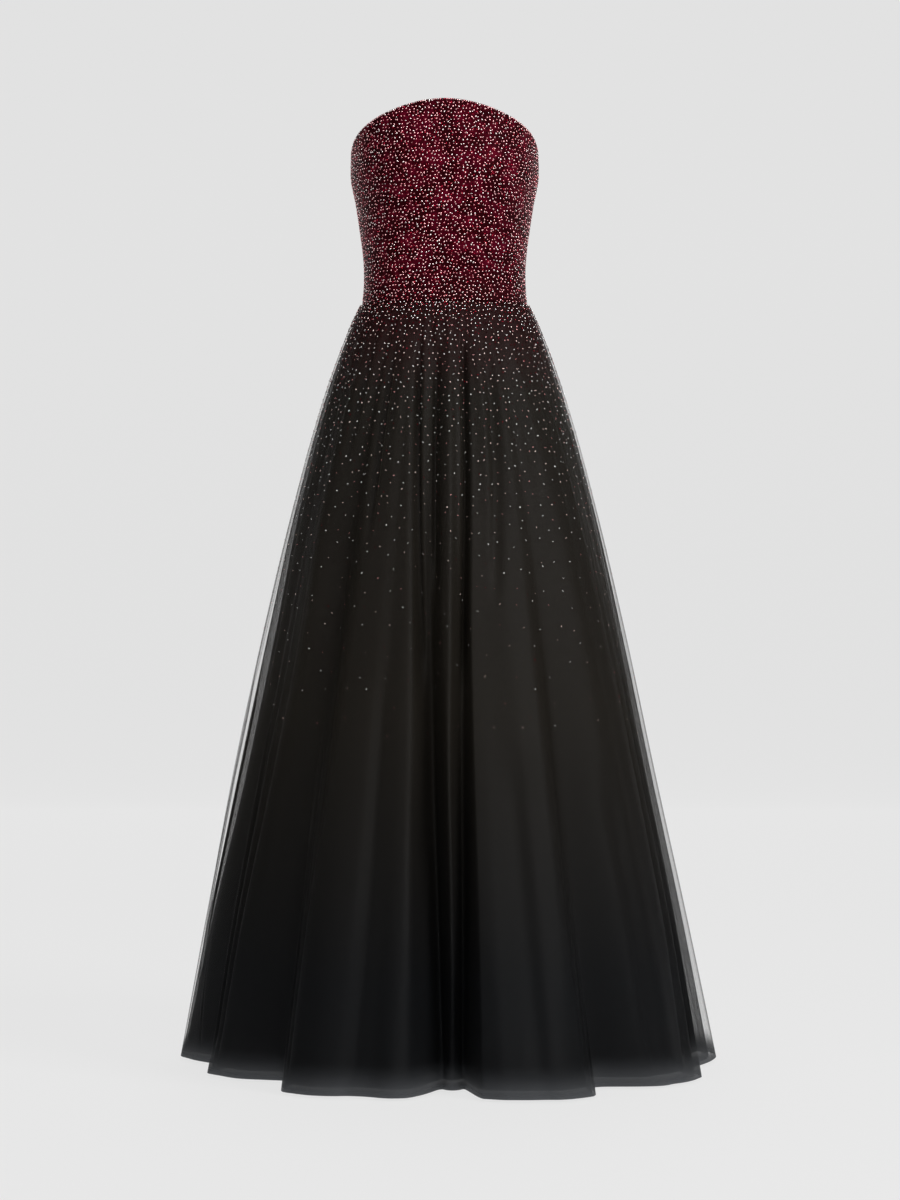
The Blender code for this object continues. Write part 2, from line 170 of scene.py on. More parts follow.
# Smaller creases of the skirt, between its folds. Angles at the waist, the middle and the hem,
# depth and half width in millimetres, and where it starts and ends as shares of the way down. A
# negative depth stands out.
Crease = namedtuple("Crease", "waist middle hem depth half_width start end")
CREASES = (
    Crease(-49, -47, -46, 8.0, 5, 0.02, 0.24),
    Crease(-36, -30, -27, 9.0, 5, 0.02, 0.34),
    Crease(-20, -9.2, -8, 15.0, 6, 0.02, 0.54),
    Crease(-6, -3.0, -2, 14.0, 6, 0.02, 0.42),
    Crease(15, 7.2, 6, 15.0, 5, 0.01, 0.52),
    Crease(2, 1.8, 1.4, -7.0, 9, 0.05, 0.95),
    Crease(-47, -51, -57, -9.0, 26, 0.30, 1.05),
    Crease(34, 18, 16, 6.0, 8, 0.03, 0.42),
    Crease(-27, -21, -21.5, 4.0, 9, 0.46, 1.05),
    Crease(-14, -8.5, -7.3, 8.0, 9, 0.60, 1.05),
    Crease(-9, -6, -4.4, -4.0, 7, 0.66, 1.05),
    Crease(22, 20.5, 18.6, 5.0, 14, 0.55, 1.05),
    Crease(30, 29, 26, -2.5, 12, 0.50, 0.95),
    Crease(46, 50, 52.3, 7.0, 15, 0.58, 1.05),
    Crease(58, 62, 64, -3.0, 14, 0.30, 0.90),
    Crease(70, 79, 84, 4.0, 12, 0.25, 0.85),
    Crease(-52, -56, -58, 3.5, 14, 0.30, 0.80),
    Crease(-60, -62, -65, -3.0, 12, 0.50, 1.05),
    Crease(-75, -82, -89, 3.0, 10, 0.12, 0.55),
    Crease(-66, -71, -76, 3.0, 8, 0.04, 0.30),
    Crease(-84, -90, -93, 4.0, 12, 0.45, 1.05),
    Crease(42, 44, 45, 3.5, 8, 0.03, 0.28),
    Crease(57, 60, 61, 3.0, 8, 0.04, 0.33),
    Crease(83, 88, 91, 3.5, 10, 0.05, 0.60),
    Crease(103, 104, 105, 4.0, 12, 0.20, 0.75),
    Crease(115, 116, 117, -3.0, 14, 0.35, 1.05),
    Crease(126, 127, 127, 4.0, 10, 0.05, 0.50),
    Crease(138, 139, 138, 5.0, 13, 0.45, 1.05),
    Crease(147, 149, 150, 3.0, 9, 0.04, 0.38),
    Crease(157, 158, 159, 4.0, 12, 0.30, 0.90),
    Crease(165, 165, 166, -3.0, 12, 0.50, 1.05),
    Crease(174, 176, 177, 4.0, 10, 0.25, 1.05),
    Crease(186, 184, 184, 3.0, 9, 0.30, 0.85),
    Crease(198, 196, 196, 5.0, 12, 0.35, 1.05),
    Crease(208, 207, 206, 3.5, 9, 0.04, 0.45),
    Crease(219, 218, 217, -3.5, 14, 0.40, 1.05),
    Crease(229, 229, 228, 4.0, 11, 0.10, 0.70),
    Crease(241, 239, 238, 5.0, 13, 0.50, 1.05),
    Crease(251, 249, 248, 3.0, 9, 0.05, 0.40),
    Crease(260, 258, 257, 4.0, 12, 0.30, 0.95),
)
CREASE_FADE = 0.10

# Small gathers just under the waist seam, scattered round it
SMALL_GATHERS = 84
SMALL_GATHER_DEPTH = (0.5, 1.6)
SMALL_GATHER_WIDTH = (1.8, 3.6)
SMALL_GATHER_END = (0.03, 0.17)
ZIP_CLEARANCE = 8
GATHER_SEED = 7

# Camera. At the gown's axis a pixel of the 1200 high frame is 1.5 mm.
CAMERA_PLACE = (0.00795, -5.0, -0.440)
CAMERA_LENS = 100
SENSOR = 36


def ease(share):
    """A smooth step from 0 to 1, flat at both ends: three times the square less twice the cube."""
    share = np.clip(share, 0, 1)
    return share * share * (3 - 2 * share)


def curve_through(at, xs, ys):
    """The smooth curve through the points (xs, ys), read at the given places: a cubic between each
    two points, with the slope at a point taken from its neighbours."""
    xs = np.asarray(xs, float)
    ys = np.asarray(ys, float)
    slopes = np.gradient(ys, xs)
    i = np.clip(np.searchsorted(xs, at) - 1, 0, len(xs) - 2)
    length = xs[i + 1] - xs[i]
    u = np.clip((at - xs[i]) / length, 0, 1)
    start = (1 + 2 * u) * (1 - u) ** 2 * ys[i] + u * (1 - u) ** 2 * length * slopes[i]
    end = u * u * (3 - 2 * u) * ys[i + 1] - u * u * (1 - u) * length * slopes[i + 1]
    return start + end


def table_column(table, name, height):
    """One column of a table of sections, read at the given heights."""
    return curve_through(height, [row.height for row in table], [getattr(row, name) for row in table])


def oval_radius(angle, half_width, front, back, power):
    """Distance from the axis to a rounded oval: the sum of its two shares, each to the power, is
    one."""
    turn = np.radians(angle)
    depth = np.where(np.cos(turn) > 0, front, back)
    across = (np.abs(np.sin(turn)) / half_width) ** power
    along = (np.abs(np.cos(turn)) / depth) ** power
    return (across + along) ** (-1 / power)


def turned(angle, centre):
    """Degrees from centre to angle, the short way round."""
    return (np.asarray(angle) - centre + 180) % 360 - 180


def placed(angle, radius, height, shift=0.0):
    """Points at these angles, distances from the axis and heights."""
    turn = np.radians(angle)
    points = (radius * np.sin(turn) + shift, -radius * np.cos(turn), height + 0 * radius)
    return np.stack(points, axis=-1)


def neckline(angle):
    """Height of the top edge: a tilted plane round the front, which levels out towards the centre
    back."""
    away = np.abs(turned(angle, 0))
    front = FRONT_NECK_HEIGHT - NECK_FRONT_DROP * (1 - np.cos(np.radians(away)))
    side = FRONT_NECK_HEIGHT - NECK_FRONT_DROP
    back = side - NECK_BACK_DROP * (1 - (1 - np.clip(away / 90 - 1, 0, 1)) ** 4)
    return np.where(away < 90, front, back)


def bodice_radius(angle, height):
    """Outer face of the bodice: its oval section, with a rounded swell on each side of the
    bust."""
    sizes = [table_column(BODICE_SECTIONS, name, height) for name in ("half_width", "front", "back")]
    radius = oval_radius(angle, *sizes, BODICE_POWER)
    rise = np.exp(-(((height - BUST_HEIGHT) / BUST_DROP) ** 2))
    for centre in (-BUST_ANGLE, BUST_ANGLE):
        radius = radius + BUST_FULLNESS * rise * np.exp(-((turned(angle, centre) / BUST_SPREAD) ** 2))
    return radius


def down_the_skirt(share, waist, middle, hem):
    """The value between the waist (share 0) and the hem (share 1) of the parabola through three
    given ones."""
    m = FOLD_MIDDLE
    at_waist = waist * (share - m) * (share - 1) / m
    at_middle = middle * share * (share - 1) / (m * (m - 1))
    at_hem = hem * share * (share - m) / (1 - m)
    return at_waist + at_middle + at_hem


def line_angle(line, share):
    """Angle of a fold or a crease at a share of the way down."""
    return down_the_skirt(share, line.waist, line.middle, line.hem)


def small_gathers():
    """Angles, depths, half widths and ends of the small gathers: evenly spaced, then each moved at
    random, with none over the zip."""
    chance = np.random.default_rng(GATHER_SEED)
    step = 360 / SMALL_GATHERS
    angles = np.arange(SMALL_GATHERS) * step + chance.uniform(-0.42, 0.42, SMALL_GATHERS) * step
    depths, widths, ends = (
        chance.uniform(*limits, SMALL_GATHERS)
        for limits in (SMALL_GATHER_DEPTH, SMALL_GATHER_WIDTH, SMALL_GATHER_END)
    )
    clear = np.abs(turned(angles, CENTRE_BACK)) > ZIP_CLEARANCE
    return angles[clear], depths[clear], widths[clear], ends[clear]


def crease_depth(angle, share, radius):
    """Depth of the small creases and gathers in millimetres: each is a bell across, which fades in
    and out along its length."""
    depth = np.zeros(np.broadcast(angle, share).shape)
    for crease in CREASES:
        across = radius / MM * np.radians(turned(angle, line_angle(crease, share)))
        along = ease((share - crease.start) / CREASE_FADE) * ease((crease.end - share) / CREASE_FADE)
        depth = depth + crease.depth * along * np.exp(-((across / crease.half_width) ** 2))
    for place, deep, wide, end in zip(*small_gathers()):
        across = radius / MM * np.radians(turned(angle, place))
        along = ease(share / 0.02) * (1 - ease(share / end))
        depth = depth + deep * along * np.exp(-((across / wide) ** 2))
    return depth


def skirt_radius(angle, height, layer):
    """Outer face of a layer of the skirt: its oval section, less the gathers and folds, which are
    smooth steps down from each shoulder, and less the small creases."""
    share = -height / WAIST_TO_HEM
    sizes = [table_column(SKIRT_SECTIONS, name, height) for name in ("half_width", "front", "back")]
    radius = oval_radius(angle, *sizes, SKIRT_POWER)
    right, left = (table_column(SKIRT_SECTIONS, name, height) for name in ("air_right", "air_left"))
    air = (left + right) / 2 + (left - right) / 2 * np.sin(np.radians(angle))
    radius = radius - layer.steps_in * (LAYER_STEP + air)
    creased = crease_depth(angle, share, radius)
    fading = ease((-height - GATHER_FADE_FROM) / (GATHER_FADE_TO - GATHER_FADE_FROM))
    gathering = ease(-height / GATHER_FULL) * (1 - fading)
    for fold in FOLDS:
        offset = turned(angle, line_angle(fold, share))
        reach = np.where(offset < 0, fold.before, fold.after)
        depth = down_the_skirt(share, 0, fold.middle_depth, fold.hem_depth)
        gather = fold.gather * gathering * (1 - ease(np.abs(offset) / GATHER_REACH))
        radius = radius - MM * (gather + layer.follow * depth * (1 - ease(np.abs(offset) / reach)))
    return radius - MM * creased


def column_places(first, last, count):
    """Places of a panel's columns, as angles at the folds' middle height: closer together where a
    fold is steep."""
    fine = np.linspace(first, last, 4000)
    crowd = np.ones_like(fine)
    for fold in FOLDS:
        steepness = abs(fold.hem_depth) / min(fold.before, fold.after)
        crowd += 0.11 * steepness * np.exp(-((turned(fine, fold.middle) / 4) ** 2))
    run = np.cumsum(crowd)
    return np.interp(np.linspace(run[0], run[-1], count), run, fine)


def skirt_points(layer, first, last, columns, rows):
    """Grid of a skirt panel, from its hem up to the waist seam. Its columns lean with the folds
    beside them, and its rows are closer together towards the waist."""
    places = column_places(first, last, columns)
    lines = [fold for fold in FOLDS if first < fold.waist < last]
    known = [first, *(fold.middle for fold in lines), last]
    heights = -layer.hem * np.linspace(1, 0, rows) ** 1.35
    grid = []
    for height in heights:
        share = -height / WAIST_TO_HEM
        leaned = [first, *(line_angle(fold, share) for fold in lines), last]
        angles = np.interp(places, known, leaned)
        shift = table_column(SKIRT_SECTIONS, "shift", height)
        grid.append(placed(angles, skirt_radius(angles, height, layer), height, shift))
    return np.array(grid)


def bodice_points(first, last, columns, rows):
    """Grid of a bodice panel, from the waist seam up to the neckline."""
    angles = np.linspace(first, last, columns)
    heights = np.linspace(0, 1, rows)[:, None] * neckline(angles)
    angles = np.broadcast_to(angles, heights.shape)
    return placed(angles, bodice_radius(angles, heights), heights)


def grid_faces(rows, columns):
    """Quads between the neighbouring points of a grid, facing outwards."""
    index = np.arange(rows * columns).reshape(rows, columns)
    corners = [index[:-1, :-1], index[:-1, 1:], index[1:, 1:], index[1:, :-1]]
    return np.stack(corners, axis=-1).reshape(-1, 4)


def add_mesh(name, points, faces, material, smooth=True):
    """An object at the origin with these points and faces."""
    mesh = bpy.data.meshes.new(name)
    mesh.from_pydata(points.reshape(-1, 3).tolist(), [], faces.tolist())
    if smooth:
        mesh.shade_smooth()
    mesh.materials.append(material)
    obj = bpy.data.objects.new(name, mesh)
    bpy.context.scene.collection.objects.link(obj)
    return obj


def lay_uv(obj, across, along):
    """Gives the mesh a UV map from each point's distance across and along its cloth, in metres."""
    layer = obj.data.uv_layers.new(name="Cloth")
    corners = np.empty(len(obj.data.loops), np.int64)
    obj.data.loops.foreach_get("vertex_index", corners)
    layer.data.foreach_set("uv", np.stack([across.ravel(), along.ravel()], axis=-1)[corners].ravel())


def cloth_run(points):
    """Distance of each grid point across its row, from the row's middle, and along its column, from
    the top."""
    steps = np.linalg.norm(np.diff(points, axis=1), axis=-1)
    across = np.concatenate([np.zeros((len(points), 1)), np.cumsum(steps, axis=1)], axis=1)
    across -= across[:, -1:] / 2
    drops = np.linalg.norm(np.diff(points[::-1], axis=0), axis=-1)
    along = np.concatenate([np.zeros((1, points.shape[1])), np.cumsum(drops, axis=0)])[::-1]
    return across, along


def cut_of(points):
    """The flat cut of a panel: its widest row, its longest column, and the area of its quads."""
    across, along = cloth_run(points)
    sides = points[1:, :-1] - points[:-1, :-1], points[:-1, 1:] - points[:-1, :-1]
    area = np.linalg.norm(np.cross(*sides), axis=-1).sum()
    return float(np.ptp(across, axis=1).max()), float(along.max()), float(area)


def add_cloth(name, points, wall, material, node):
    """A cloth panel: the surface through a grid, with a thin wall inwards. It stands for its CAD
    node."""
    obj = add_mesh(name, points, grid_faces(*points.shape[:2]), material)
    lay_uv(obj, *cloth_run(points))
    thicken = obj.modifiers.new("Wall", "SOLIDIFY")
    thicken.thickness = wall
    thicken.offset = -1
    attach(obj, "gown")
    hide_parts(node)
    width, length, area = cut_of(points)
    print(f"cut {name}: {width:.3f} x {length:.3f} m, {area:.3f} m2")
    return obj


def linear(colour):
    """An sRGB hex colour as linear red, green, blue and 1."""
    value = np.array([int(colour[i : i + 2], 16) for i in (1, 3, 5)]) / 255
    value = np.where(value <= 0.04045, value / 12.92, ((value + 0.055) / 1.055) ** 2.4)
    return (*value.tolist(), 1)


def add_node(tree, kind, inputs=None, **settings):
    """A node of this kind with its settings. Inputs maps a socket to a value or to the output that
    feeds it."""
    node = tree.nodes.new(kind)
    for name, value in settings.items():
        setattr(node, name, value)
    for name, value in (inputs or {}).items():
        if isinstance(value, bpy.types.NodeSocket):
            tree.links.new(value, node.inputs[name])
        else:
            node.inputs[name].default_value = value
    return node


def ramp(tree, value, start, end):
    """How far a value is from start to end, from 0 to 1."""
    node = add_node(tree, "ShaderNodeMapRange", {"Value": value, "From Min": start, "From Max": end})
    return node.outputs["Result"]


def blend(tree, share, first, second):
    """The colour between two others: share 0 gives the first and 1 the second. Sockets 6 and 7 take
    the colours."""
    inputs = {"Factor": share, 6: first, 7: second}
    return add_node(tree, "ShaderNodeMix", inputs, data_type="RGBA").outputs[2]


def bumped(tree, height, strength):
    """The surface's direction over a relief at most 0.2 mm high."""
    inputs = {"Height": height, "Strength": strength, "Distance": 0.2 * MM}
    return add_node(tree, "ShaderNodeBump", inputs).outputs["Normal"]


def new_material(name):
    """A material with its tree cleared but for its output."""
    material = bpy.data.materials.new(name)
    material.use_nodes = True
    tree = material.node_tree
    for node in list(tree.nodes):
        if node.type != "OUTPUT_MATERIAL":
            tree.nodes.remove(node)
    return material, tree, tree.nodes["Material Output"]


def duchesse_satin():
    """Duchesse satin, woven from polyester filament and dyed dark red: a broad soft sheen, a fine
    rib along the weft, and dye that runs to black towards the waist."""
    material, tree, output = new_material("duchesse_satin_dark_red")
    place = add_node(tree, "ShaderNodeTexCoord").outputs["Object"]
    height = add_node(tree, "ShaderNodeSeparateXYZ", {0: place}).outputs["Z"]
    # Uneven dye, in soft patches some 2 cm across
    patches = add_node(
        tree, "ShaderNodeTexNoise", {"Vector": place, "Scale": 46, "Detail": 3, "Roughness": 0.65}
    )
    patch = ramp(tree, patches.outputs["Fac"], 0.44, 0.68)
    red = blend(tree, patch, linear("#230206"), linear("#52061a"))
    colour = blend(tree, ramp(tree, height, 0.055, 0.0), red, linear("#22070a"))
    uv = add_node(tree, "ShaderNodeUVMap", uv_map="Cloth").outputs["UV"]
    # Weft ribs every 0.8 mm, about twice the real spacing, so that they show in a near view
    inputs = {"Vector": uv, "Scale": 393, "Distortion": 0.6, "Detail": 1}
    ribs = add_node(tree, "ShaderNodeTexWave", inputs, bands_direction="Y")
    shader = add_node(
        tree,
        "ShaderNodeBsdfPrincipled",
        {
            "Base Color": colour,
            "Roughness": 0.42,
            "Specular IOR Level": 0.08,
            "Specular Tint": linear("#b04050"),
            "Normal": bumped(tree, ribs.outputs["Fac"], 0.25),
        },
    )
    tree.links.new(shader.outputs[0], output.inputs["Surface"])
    return material


def lining_satin():
    """Acetate lining satin, woven and dyed black: warm black above, cooler towards the hem, with a
    low sheen."""
    material, tree, output = new_material("acetate_satin_black")
    place = add_node(tree, "ShaderNodeTexCoord").outputs["Object"]
    height = add_node(tree, "ShaderNodeSeparateXYZ", {0: place}).outputs["Z"]
    below = blend(tree, ramp(tree, height, -0.55, -1.0), linear("#120f0b"), linear("#060709"))
    colour = blend(tree, ramp(tree, height, -0.16, 0.0), below, linear("#1e0406"))
    # Painted light from the floor: the colour turns pale grey towards the turned-up hem
    inputs = {0: ramp(tree, height, -1.082, -1.120), 1: 2}
    painted_floor_light = add_node(tree, "ShaderNodeMath", inputs, operation="POWER")
    colour = blend(tree, painted_floor_light.outputs[0], colour, linear("#34373a"))
    uv = add_node(tree, "ShaderNodeUVMap", uv_map="Cloth").outputs["UV"]
    # Warp lines every 1 mm, some three times the real spacing, so that they show in a near view
    inputs = {"Vector": uv, "Scale": 314, "Distortion": 1.2, "Detail": 1}
    warp = add_node(tree, "ShaderNodeTexWave", inputs, bands_direction="X")
    shader = add_node(
        tree,
        "ShaderNodeBsdfPrincipled",
        {
            "Base Color": colour,
            "Roughness": 0.48,
            "Specular IOR Level": 0.25,
            "Normal": bumped(tree, warp.outputs["Fac"], 0.2),
        },
    )
    tree.links.new(shader.outputs[0], output.inputs["Surface"])
    return material


# How fast tulle closes up as it turns edge on and its cover there, the height where painted light
# from the floor starts on its hem, and the hem's cover and share of painted pale grey there
NET_CLOSES = 10
EDGE_ON_COVER = 0.8
PAINTED_HEM_LIGHT_FROM = -1.085
PAINTED_HEM_LIGHT_COVER = 0.95
# Waves across the net a metre, in radians, for holes 2 mm apart
NET_WAVE = 2 * np.pi / (2 * MM * np.cos(np.radians(30)))


def bobbin_tulle(name, cover):
    """Nylon tulle, a hexagonal bobbin net dyed black: see-through where it faces the eye and
    closing up where it turns edge on. Cover is the share of it that is thread."""
    material, tree, output = new_material(name)
    place = add_node(tree, "ShaderNodeTexCoord").outputs["Object"]
    height = add_node(tree, "ShaderNodeSeparateXYZ", {0: place}).outputs["Z"]
    below = blend(tree, ramp(tree, height, -0.60, -0.98), linear("#201c16"), linear("#0d0e10"))
    colour = blend(tree, ramp(tree, height, -0.14, 0.01), below, linear("#2c080b"))
    uv = add_node(tree, "ShaderNodeUVMap", uv_map="Cloth").outputs["UV"]
    # Round holes 2 mm apart in rows at 60 degrees, a little over the real 1.5 mm, so that they show
    # in a near view: the sum of three waves that cross at 60 degrees, whose crests are the holes
    waves = []
    for turn in (0, 60, 120):
        ahead = (np.cos(np.radians(turn)), np.sin(np.radians(turn)), 0)
        inputs = {0: uv, 1: [NET_WAVE * part for part in ahead]}
        run = add_node(tree, "ShaderNodeVectorMath", inputs, operation="DOT_PRODUCT")
        wave = add_node(tree, "ShaderNodeMath", {0: run.outputs["Value"]}, operation="COSINE")
        waves.append(wave.outputs[0])
    pair = add_node(tree, "ShaderNodeMath", {0: waves[0], 1: waves[1]}, operation="ADD")
    holes = add_node(tree, "ShaderNodeMath", {0: pair.outputs[0], 1: waves[2]}, operation="ADD")
    thread = add_node(
        tree,
        "ShaderNodeMapRange",
        {"Value": holes.outputs[0], "From Min": -1.2, "From Max": 0.6, "To Min": 1.5, "To Max": 0.5},
    )
    edge = add_node(tree, "ShaderNodeLayerWeight", {"Blend": 0.5}).outputs["Facing"]
    closing = add_node(tree, "ShaderNodeMath", {0: edge, 1: NET_CLOSES}, operation="POWER")
    inputs = {0: closing.outputs[0], 1: EDGE_ON_COVER - cover, 2: cover}
    dense = add_node(tree, "ShaderNodeMath", inputs, operation="MULTIPLY_ADD")
    total = add_node(
        tree,
        "ShaderNodeMath",
        {0: dense.outputs[0], 1: thread.outputs["Result"]},
        operation="MULTIPLY",
        use_clamp=True,
    )
    # Painted light from the floor: towards the hem the net is made denser and tinted pale grey
    painted_hem_light = add_node(
        tree,
        "ShaderNodeMapRange",
        {"Value": height, "From Min": PAINTED_HEM_LIGHT_FROM, "From Max": -WAIST_TO_HEM, "To Max": PAINTED_HEM_LIGHT_COVER},
    )
    painted_hem_light = add_node(tree, "ShaderNodeMath", {0: painted_hem_light.outputs["Result"], 1: 1.5}, operation="POWER")
    inputs = {0: total.outputs[0], 1: painted_hem_light.outputs[0]}
    total = add_node(tree, "ShaderNodeMath", inputs, operation="MAXIMUM")
    tinted = blend(tree, painted_hem_light.outputs[0], colour, linear("#56585b"))
    shader = add_node(
        tree,
        "ShaderNodeBsdfPrincipled",
        {
            "Base Color": tinted,
            "Roughness": 0.75,
            "Specular IOR Level": 0.15,
            "Alpha": total.outputs[0],
        },
    )
    tree.links.new(shader.outputs[0], output.inputs["Surface"])
    return material


def cut_crystal():
    """Flat-backed cut glass, foiled behind: hard small glints, each stone with a tint of its
    own."""
    material, tree, output = new_material("foiled_cut_glass")
    tint = add_node(tree, "ShaderNodeAttribute", attribute_name="tint")
    shader = add_node(
        tree,
        "ShaderNodeBsdfPrincipled",
        {"Base Color": tint.outputs["Color"], "Roughness": 0.12, "Metallic": 0.96, "IOR": 1.54},
    )
    tree.links.new(shader.outputs[0], output.inputs["Surface"])
    return material


def plain_material(name, colour, roughness, metallic=0.0, grain=0.0, scale=900):
    """A dyed or coated material of one colour, with a fine grain in its bump and a little in its
    tone."""
    material, tree, output = new_material(name)
    place = add_node(tree, "ShaderNodeTexCoord").outputs["Object"]
    noise = add_node(tree, "ShaderNodeTexNoise", {"Vector": place, "Scale": scale, "Detail": 3})
    lighter = tuple(1.35 * part for part in linear(colour)[:3]) + (1,)
    shader = add_node(
        tree,
        "ShaderNodeBsdfPrincipled",
        {
            "Base Color": blend(tree, noise.outputs["Fac"], linear(colour), lighter),
            "Roughness": roughness,
            "Metallic": metallic,
            "Normal": bumped(tree, noise.outputs["Fac"], grain),
        },
    )
    tree.links.new(shader.outputs[0], output.inputs["Surface"])
    return material


# Crystals: radii in millimetres, how far they tilt in degrees, their profile as shares of the
# radius out from and up the axis, and their tints with the share of each
BRIGHT_RADIUS = (1.1, 1.5)
DARK_RADIUS = (0.9, 1.35)
CRYSTAL_TILT = 9
CRYSTAL_SIDES = 6
CRYSTAL_RINGS = ((1, 0), (0.84, 0.52), (0, 0.80))
CRYSTAL_SEED = 11
CRYSTAL_SINKS = 0.1 * MM
# Share of the full size that the stones have at a height: smaller ones lower on the skirt
STONE_SIZES = ((-0.450, 0.60), (-0.030, 0.90), (0.0, 1.0))
Tint = namedtuple("Tint", "colour share")
BRIGHT_TINTS = (
    Tint("#d88890", 0.34),
    Tint("#ffc4c6", 0.38),
    Tint("#ffecea", 0.28),
)
SKIRT_TINTS = (
    Tint("#dca4a4", 0.20),
    Tint("#ffe8e2", 0.36),
    Tint("#ffffff", 0.44),
)
DARK_TINTS = (
    Tint("#30030a", 0.55),
    Tint("#600a16", 0.33),
    Tint("#ac1c34", 0.12),
)


def crystal_mesh(name, centres, outwards, radii, tints, material):
    """Cut stones joined in one mesh: for each, a six-sided flat-backed dome, built as two rings and
    a top point, which are scaled, tilted and moved to its place as whole arrays."""
    count = len(centres)
    upright = np.abs(outwards[:, 2:3]) >= 0.9
    helper = np.where(upright, np.array([[1.0, 0, 0]]), np.array([[0, 0, 1.0]]))
    side = np.cross(helper, outwards)
    side /= np.linalg.norm(side, axis=1, keepdims=True)
    up = np.cross(outwards, side)
    chance = np.random.default_rng(CRYSTAL_SEED + count)
    spin = chance.uniform(0, 2 * np.pi, (count, 1))
    corner = np.arange(CRYSTAL_SIDES) * 2 * np.pi / CRYSTAL_SIDES + spin
    round_it = np.cos(corner)[..., None] * side[:, None] + np.sin(corner)[..., None] * up[:, None]
    rings = []
    for share, lift in CRYSTAL_RINGS:
        ring_points = round_it[:, : CRYSTAL_SIDES if share else 1]
        offset = share * ring_points + lift * outwards[:, None]
        rings.append(centres[:, None] + radii[:, None, None] * offset)
    points = np.concatenate(rings, axis=1)
    start = (np.arange(count) * points.shape[1])[:, None]
    ring = np.arange(CRYSTAL_SIDES)
    after = (ring + 1) % CRYSTAL_SIDES
    back = (start + ring[::-1]).tolist()
    walls = np.stack([ring, after, after + CRYSTAL_SIDES, ring + CRYSTAL_SIDES], axis=-1)
    walls = (start[:, None] + walls).reshape(-1, 4).tolist()
    peak = np.full(CRYSTAL_SIDES, 2 * CRYSTAL_SIDES)
    top = np.stack([ring + CRYSTAL_SIDES, after + CRYSTAL_SIDES, peak], axis=-1)
    top = (start[:, None] + top).reshape(-1, 3).tolist()
    mesh = bpy.data.meshes.new(name)
    mesh.from_pydata(points.reshape(-1, 3).tolist(), [], back + walls + top)
    mesh.shade_smooth()
    mesh.materials.append(material)
    colours = np.repeat(tints, points.shape[1], axis=0)
    attribute = mesh.color_attributes.new("tint", "FLOAT_COLOR", "POINT")
    attribute.data.foreach_set("color", colours.ravel())
    obj = bpy.data.objects.new(name, mesh)
    bpy.context.scene.collection.objects.link(obj)
    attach(obj, "gown")
    return obj


def facing(surface, angle, height):
    """Outward direction of a surface of the given radius function, from two small steps across
    it."""
    here = placed(angle, surface(angle, height), height)
    across = placed(angle + 0.2, surface(angle + 0.2, height), height) - here
    along = placed(angle, surface(angle, height + MM), height + MM) - here
    out = np.cross(across, along)
    return here, out / np.linalg.norm(out, axis=1, keepdims=True)


def picked(table, chance, count):
    """A tint for each of so many stones, picked by the table's shares."""
    colours = np.array([linear(row.colour) for row in table])
    shares = np.array([row.share for row in table])
    return colours[chance.choice(len(table), count, p=shares / shares.sum())]


def set_crystals(name, surface, groups, material):
    """Stones on a surface, each a little tilted. Their backs sit just inside the cloth. Each group
    has its angles, its heights, its limits of radius in millimetres and its tints."""
    angles, heights = (np.concatenate([group[part] for group in groups]) for part in (0, 1))
    chance = np.random.default_rng(CRYSTAL_SEED + len(angles))
    here, out = facing(surface, angles, heights)
    out = out + np.tan(np.radians(CRYSTAL_TILT)) * chance.normal(0, 0.6, out.shape)
    out /= np.linalg.norm(out, axis=1, keepdims=True)
    radii = np.concatenate([chance.uniform(*group[2], len(group[0])) for group in groups]) * MM
    radii *= np.interp(heights, *zip(*STONE_SIZES))
    tints = np.concatenate([picked(group[3], chance, len(group[0])) for group in groups])
    return crystal_mesh(name, here - CRYSTAL_SINKS * out, out, radii, tints, material)


# Stones are set in staggered rows at a spacing, and each is moved by up to this share of it
STONE_WANDER = 0.32
ROW_STEP = 0.87
EDGE_SPACING = 3.4 * MM
EDGE_DROP = 0.9 * MM
EDGE_CLEARANCE = 2.4 * MM
# Mean distance of the top edge from the axis, and how far stones keep from a seam in degrees
NECK_RADIUS = 0.125
SEAM_CLEARANCE = 0.3


def stone_rows(first, last, bottom, top, spacing_at, radius_at, chance):
    """Angles and heights of evenly set stones."""
    angles, heights = [], []
    height, number = top, 0
    while height > bottom:
        spacing = spacing_at(height)
        radius = radius_at(height)
        count = max(2, round(np.radians(last - first) * radius / spacing))
        index = np.arange(count)
        place = first + (index + 0.25 + 0.5 * (number % 2)) / count * (last - first)
        wander = chance.uniform(-STONE_WANDER, STONE_WANDER, (2, count)) * spacing
        angles.append(place + np.degrees(wander[0] / radius))
        heights.append(height + wander[1])
        height -= ROW_STEP * spacing
        number += 1
    return np.concatenate(angles), np.concatenate(heights)


def bodice_stones(first, last, spacing, chance):
    """Stones of a bodice panel, clear of its seams, with a closer row along its top edge."""

    def mean_radius(height):
        return float(np.mean(bodice_radius(np.linspace(first, last, 9), np.full(9, height))))

    angles, heights = stone_rows(
        first,
        last,
        0.0,
        FRONT_NECK_HEIGHT,
        lambda height: spacing,
        mean_radius,
        chance,
    )
    inside = (heights > 0) & (heights < neckline(angles) - EDGE_CLEARANCE)
    edge = np.linspace(first, last, int(np.radians(last - first) * NECK_RADIUS / EDGE_SPACING))
    angles = np.concatenate([angles[inside], edge])
    heights = np.concatenate([heights[inside], neckline(edge) - EDGE_DROP])
    clear = (angles > first + SEAM_CLEARANCE) & (angles < last - SEAM_CLEARANCE)
    return angles[clear], heights[clear]


